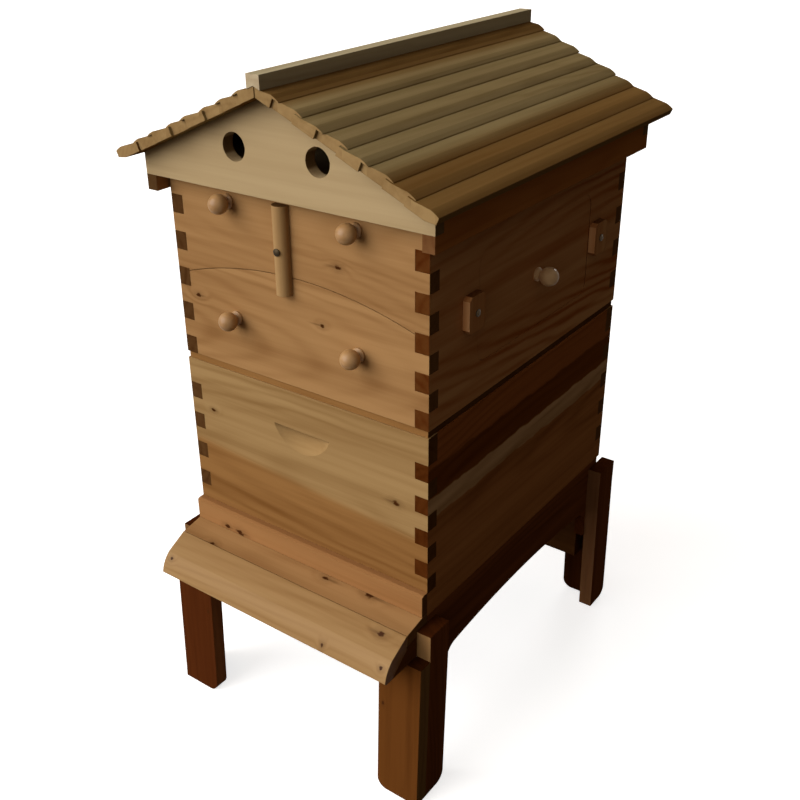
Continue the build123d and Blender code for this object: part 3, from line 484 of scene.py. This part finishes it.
# Metal, plastic and wax
STEEL = plain("zinc_steel", (0.55, 0.54, 0.51), 0.38, metal=1.0, grain=300.0)
DARK_STEEL = plain("dark_steel", (0.05, 0.035, 0.02), 0.5, metal=1.0, grain=300.0)
ACRYLIC = plain("clear_acrylic", (0.95, 0.97, 0.97), 0.08, transmission=0.95, spread=0.03)
END_PLATE = plain("end_plate_plastic", (0.90, 0.88, 0.78), 0.3, transmission=0.35, spread=0.05)
COMB = plain("comb_plastic", (0.82, 0.68, 0.36), 0.45, grain=160.0, spread=0.3)
COMB_TOP = plain("comb_top_plastic", (0.86, 0.78, 0.55), 0.4)
BEESWAX = plain("beeswax", (0.80, 0.56, 0.16), 0.45, grain=200.0, spread=0.3)
TRAY = plain("tray_plastic", (0.80, 0.80, 0.77), 0.45)
for node in ("floor_mesh", "excluder_grid"):
    paint(node, STEEL)
for node in ("turn_bar_screw", "button_screws"):
    paint(node, DARK_STEEL)
paint("window_panes", ACRYLIC)
paint("honey_end_plates", END_PLATE)
paint("honey_combs", COMB)
paint("honey_top_bars", COMB_TOP)
paint("brood_foundations", BEESWAX)
paint("inspection_tray", TRAY)

# Camera, in the attitude, place and focal length of the photograph
AZIMUTH, ELEVATION, ROLL = (math.radians(angle) for angle in (37.075, 27.176, -0.991))
CAMERA_PLACE = (0.82447, -1.15426, 1.20108)
PICTURE = 800.0
FOCAL = 1052.34
CENTRE = (376.44, 389.11)
forward = Vector((
    -math.sin(AZIMUTH) * math.cos(ELEVATION),
    math.cos(AZIMUTH) * math.cos(ELEVATION),
    -math.sin(ELEVATION),
))
sideways = Vector((math.cos(AZIMUTH), math.sin(AZIMUTH), 0.0))
upright = sideways.cross(forward)
right = sideways * math.cos(ROLL) + upright * math.sin(ROLL)
up = upright * math.cos(ROLL) - sideways * math.sin(ROLL)
camera_data = bpy.data.cameras.new("camera")
camera_data.lens = FOCAL / PICTURE * camera_data.sensor_width
camera_data.shift_x = 0.5 - CENTRE[0] / PICTURE
camera_data.shift_y = CENTRE[1] / PICTURE - 0.5
camera = bpy.data.objects.new("camera", camera_data)
scene.collection.objects.link(camera)
attitude = Matrix((right, up, -forward)).transposed().to_4x4()
camera.matrix_world = Matrix.Translation(CAMERA_PLACE) @ attitude
scene.camera = camera


def background_rays(g):
    """Rays from the camera, and all the rays that show the white surroundings."""
    rays = g.add("ShaderNodeLightPath").outputs
    direct = rays["Is Camera Ray"]
    return direct, g.largest(direct, rays["Is Glossy Ray"], rays["Is Transmission Ray"])


# Floor: white to the camera apart from the soft shadow, and dim to bounced light, so that the shaded
# side stays shaded
FLOOR_SIZE = 60.0
FLOOR_BOUNCE = (0.07, 0.056, 0.045)
FLOOR_SEEN = (0.88, 0.88, 0.88)
FLOOR_GLOW = 0.7
bpy.ops.mesh.primitive_plane_add(size=FLOOR_SIZE)
floor = bpy.context.object
floor.name = "floor"
floor_material, g, surface = new_material("floor_pale")
direct, seen = background_rays(g)
g.put(surface.inputs["Base Color"], g.mix(seen, FLOOR_BOUNCE, FLOOR_SEEN))
g.put(surface.inputs["Emission Strength"], g.math("MULTIPLY", direct, FLOOR_GLOW))
surface.inputs["Emission Color"].default_value = (*WHITE, 1.0)
surface.inputs["Roughness"].default_value = 1.0
surface.inputs["Specular IOR Level"].default_value = 0.0
floor.data.materials.append(floor_material)

# Light: a soft source from the front left in a glow of the same side, a weaker one behind, and dim warm
# surroundings
KEY_SIDE = Vector((-0.48, -0.78, 0.40)).normalized()
BACK_SIDE = (-0.25, 0.95, 0.20)
GLOW_RANGE = (0.055, 0.80)
GLOW_TINT = (1.0, 0.87, 0.75)
world = bpy.data.worlds.new("world")
scene.world = world
world.use_nodes = True
g = Graph(world.node_tree)
back = world.node_tree.nodes["Background"]
direct, seen = background_rays(g)
toward_key = g.vmath("DOT_PRODUCT", g.add("ShaderNodeTexCoord").outputs["Generated"], KEY_SIDE)
glow = g.smooth(toward_key, 0.0, 1.0, *GLOW_RANGE)
g.put(back.inputs["Color"], g.mix(seen, GLOW_TINT, WHITE))
g.put(back.inputs["Strength"], g.math("MAXIMUM", seen, glow))


def sun(name, toward, strength, spread):
    """Distant light from the direction toward, spread over an angle in degrees."""
    data = bpy.data.lights.new(name, "SUN")
    data.energy = strength
    data.angle = math.radians(spread)
    light = bpy.data.objects.new(name, data)
    light.rotation_euler = Vector(toward).to_track_quat("Z", "Y").to_euler()
    scene.collection.objects.link(light)


sun("key", KEY_SIDE, 2.9, 60.0)
sun("back_fill", BACK_SIDE, 1.3, 30.0)
